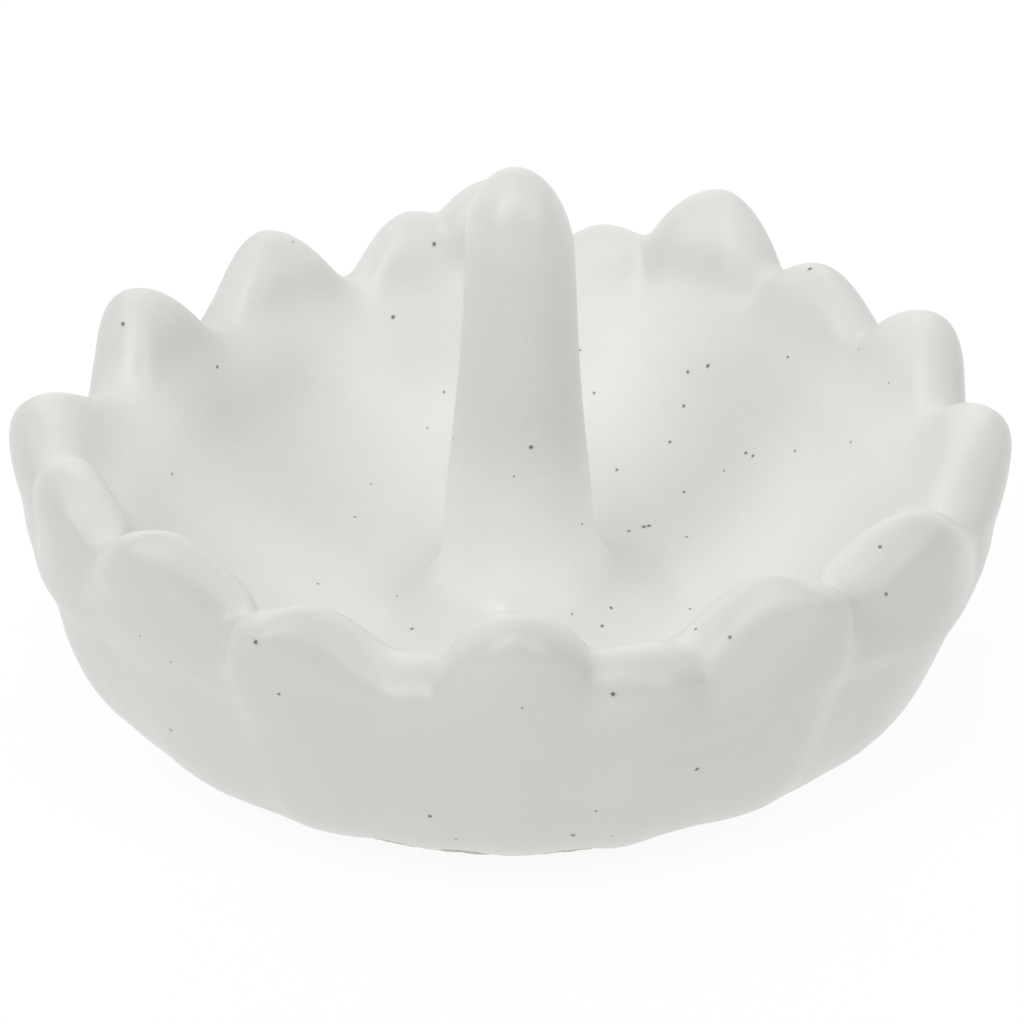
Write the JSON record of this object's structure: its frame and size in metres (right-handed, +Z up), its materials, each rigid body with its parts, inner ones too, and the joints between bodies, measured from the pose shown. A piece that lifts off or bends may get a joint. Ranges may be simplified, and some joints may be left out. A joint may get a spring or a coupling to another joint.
{
  "type": "trinket dish",
  "caption": "Round ceramic trinket dish with a thick scalloped petal wall and a tapered cone in the middle that holds finger rings.",
  "frame": {"origin": "middle of the overall box, at the surface the dish stands on", "axes": "+Z up along the bowl's turning axis, -Y towards the side the picture was taken from, +X to the picture's right"},
  "size_m": [0.1093, 0.1075, 0.0634],
  "materials": {
    "speckled_glaze": "satin white glaze with scattered dark iron specks",
    "bare_stoneware": "wiped, unglazed pale stoneware on the standing face, white glaze down its side"
  },
  "bodies": {
    "root": {"foot_ring": "bare_stoneware", "bowl": "speckled_glaze", "ring_cone": "speckled_glaze", "petal_01": "speckled_glaze", "petal_02": "speckled_glaze", "petal_03": "speckled_glaze", "petal_04": "speckled_glaze", "petal_05": "speckled_glaze", "petal_06": "speckled_glaze", "petal_07": "speckled_glaze", "petal_08": "speckled_glaze", "petal_09": "speckled_glaze", "petal_10": "speckled_glaze", "petal_11": "speckled_glaze", "petal_12": "speckled_glaze", "petal_13": "speckled_glaze", "petal_14": "speckled_glaze", "petal_15": "speckled_glaze", "petal_16": "speckled_glaze", "petal_17": "speckled_glaze", "petal_18": "speckled_glaze"}
  },
  "joints": []
}
